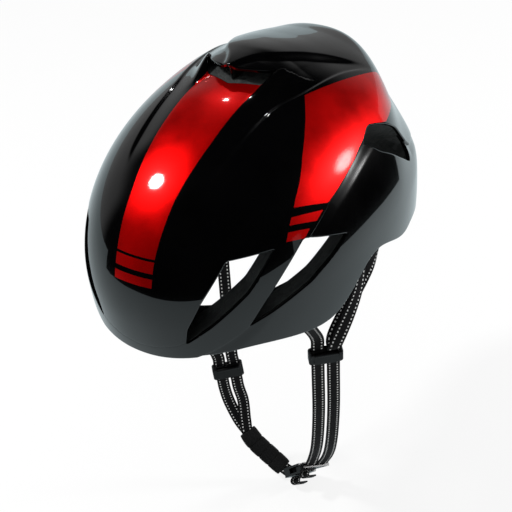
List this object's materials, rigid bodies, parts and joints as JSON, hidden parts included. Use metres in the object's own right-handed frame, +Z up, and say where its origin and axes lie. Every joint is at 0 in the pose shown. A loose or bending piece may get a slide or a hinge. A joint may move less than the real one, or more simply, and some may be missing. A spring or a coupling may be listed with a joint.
{
  "type": "cycling helmet",
  "caption": "Aero road-cycling helmet with a gloss shell, hooded crown vent, side windows, foam liner, dial fit cradle, webbing straps and a side-release chin buckle.",
  "frame": {"origin": "the point of the padding plane over the wearer's crown, where the head holds the helmet up", "axes": "+Z up, the wearer faces -Y, the wearer's left is +X"},
  "size_m": [0.2, 0.3022, 0.4156],
  "materials": {
    "gloss_shell": "black gloss lacquer with candy red stripes and a clear coat",
    "lower_gloss": "black gloss lacquer",
    "foam": "black moulded bead foam, matt",
    "padding": "black knitted textile over soft foam",
    "webbing": "black woven webbing with dotted white reflective threads",
    "chin_sleeve": "black ribbed soft sleeve",
    "satin_plastic": "black moulded nylon, satin",
    "buckle_plastic": "black acetal, semi-gloss",
    "dial_rubber": "black ribbed soft-touch rubber"
  },
  "bodies": {
    "helmet": {"upper_shell": "gloss_shell", "lower_shell": "lower_gloss", "crown_hood": "gloss_shell", "eps_liner": "foam", "brow_pad": "padding", "crown_pad": "padding", "temple_pad_left": "padding", "temple_pad_right": "padding", "anchor_front_left": "satin_plastic", "anchor_front_right": "satin_plastic", "anchor_middle_left": "satin_plastic", "anchor_middle_right": "satin_plastic", "anchor_rear_left": "satin_plastic", "anchor_rear_right": "satin_plastic", "pivot_socket_left": "satin_plastic", "pivot_socket_right": "satin_plastic", "height_rail": "satin_plastic", "left_front_strap": "webbing", "left_rear_strap": "webbing", "left_inner_strap": "webbing", "right_front_strap": "webbing", "right_rear_strap": "webbing", "right_inner_strap": "webbing", "chin_pad": "chin_sleeve", "buckle_female": "buckle_plastic", "strap_tail_female": "webbing"},
    "fit_cradle": {"dial_housing": "satin_plastic", "housing_cover": "satin_plastic", "height_tongue": "satin_plastic", "occipital_pad_left": "padding", "occipital_pad_right": "padding"},
    "dial": {"dial_knob": "dial_rubber", "dial_pinion": "satin_plastic"},
    "arm_left": {"fit_arm_left": "satin_plastic"},
    "arm_right": {"fit_arm_right": "satin_plastic"},
    "divider_left": {"divider_left": "satin_plastic"},
    "cam_left": {"divider_cam_left": "satin_plastic"},
    "divider_right": {"divider_right": "satin_plastic"},
    "cam_right": {"divider_cam_right": "satin_plastic"},
    "buckle_male": {"buckle_male": "buckle_plastic", "strap_tail_male": "webbing"},
    "prong_front": {"release_prong_front": "buckle_plastic"},
    "prong_rear": {"release_prong_rear": "buckle_plastic"}
  },
  "joints": [
    {"name": "fit_tilt", "type": "hinge", "parent": "helmet", "child": "fit_cradle", "pos_m": [0, -0.045, -0.096], "axis": [1, 0, 0], "range_deg": [-4, 5]},
    {"name": "dial_turn", "type": "hinge", "parent": "fit_cradle", "child": "dial", "pos_m": [0, 0.07, -0.136], "axis": [0, -1, 0], "range_deg": [0, 71.6]},
    {"name": "arm_left_draw", "type": "slide", "parent": "fit_cradle", "child": "arm_left", "axis": [-1, 0, 0], "range_m": [0, 0.005]},
    {"name": "arm_right_draw", "type": "slide", "parent": "fit_cradle", "child": "arm_right", "axis": [1, 0, 0], "range_m": [0, 0.005]},
    {"name": "divider_left_slide", "type": "slide", "parent": "helmet", "child": "divider_left", "axis": [-0.1298, 0.0799, -0.9883], "range_m": [0, 0.012]},
    {"name": "cam_left_lever", "type": "hinge", "parent": "divider_left", "child": "cam_left", "pos_m": [0.07225, -0.04396, -0.16895], "axis": [-0.7547, -0.6544, 0.0462], "range_deg": [0, 80]},
    {"name": "divider_right_slide", "type": "slide", "parent": "helmet", "child": "divider_right", "axis": [0, 0.04, -0.9992], "range_m": [0, 0.006]},
    {"name": "cam_right_lever", "type": "hinge", "parent": "divider_right", "child": "cam_right", "pos_m": [-0.04734, -0.0148, -0.25743], "axis": [-0.7602, -0.6491, -0.026], "range_deg": [0, 80]},
    {"name": "buckle_pull", "type": "slide", "parent": "helmet", "child": "buckle_male", "axis": [0.7413, 0, 0.6712], "range_m": [0, 0.022], "deforming": ["left_front_strap", "left_rear_strap"]},
    {"name": "prong_front_squeeze", "type": "hinge", "parent": "buckle_male", "child": "prong_front", "pos_m": [0.01589, -0.01601, -0.34467], "axis": [0.528, -0.6174, -0.5832], "range_deg": [0, 6], "stiffness_Nm_per_rad": 0.05, "springref_deg": -2.86},
    {"name": "prong_rear_squeeze", "type": "hinge", "parent": "buckle_male", "child": "prong_rear", "pos_m": [0.02011, -0.00799, -0.34933], "axis": [-0.528, 0.6174, 0.5832], "range_deg": [0, 6], "stiffness_Nm_per_rad": 0.05, "springref_deg": -2.86}
  ],
  "couplings": [
    {"joint": "arm_left_draw", "follows": "dial_turn", "m_per_rad": 0.004},
    {"joint": "arm_right_draw", "follows": "dial_turn", "m_per_rad": 0.004}
  ]
}
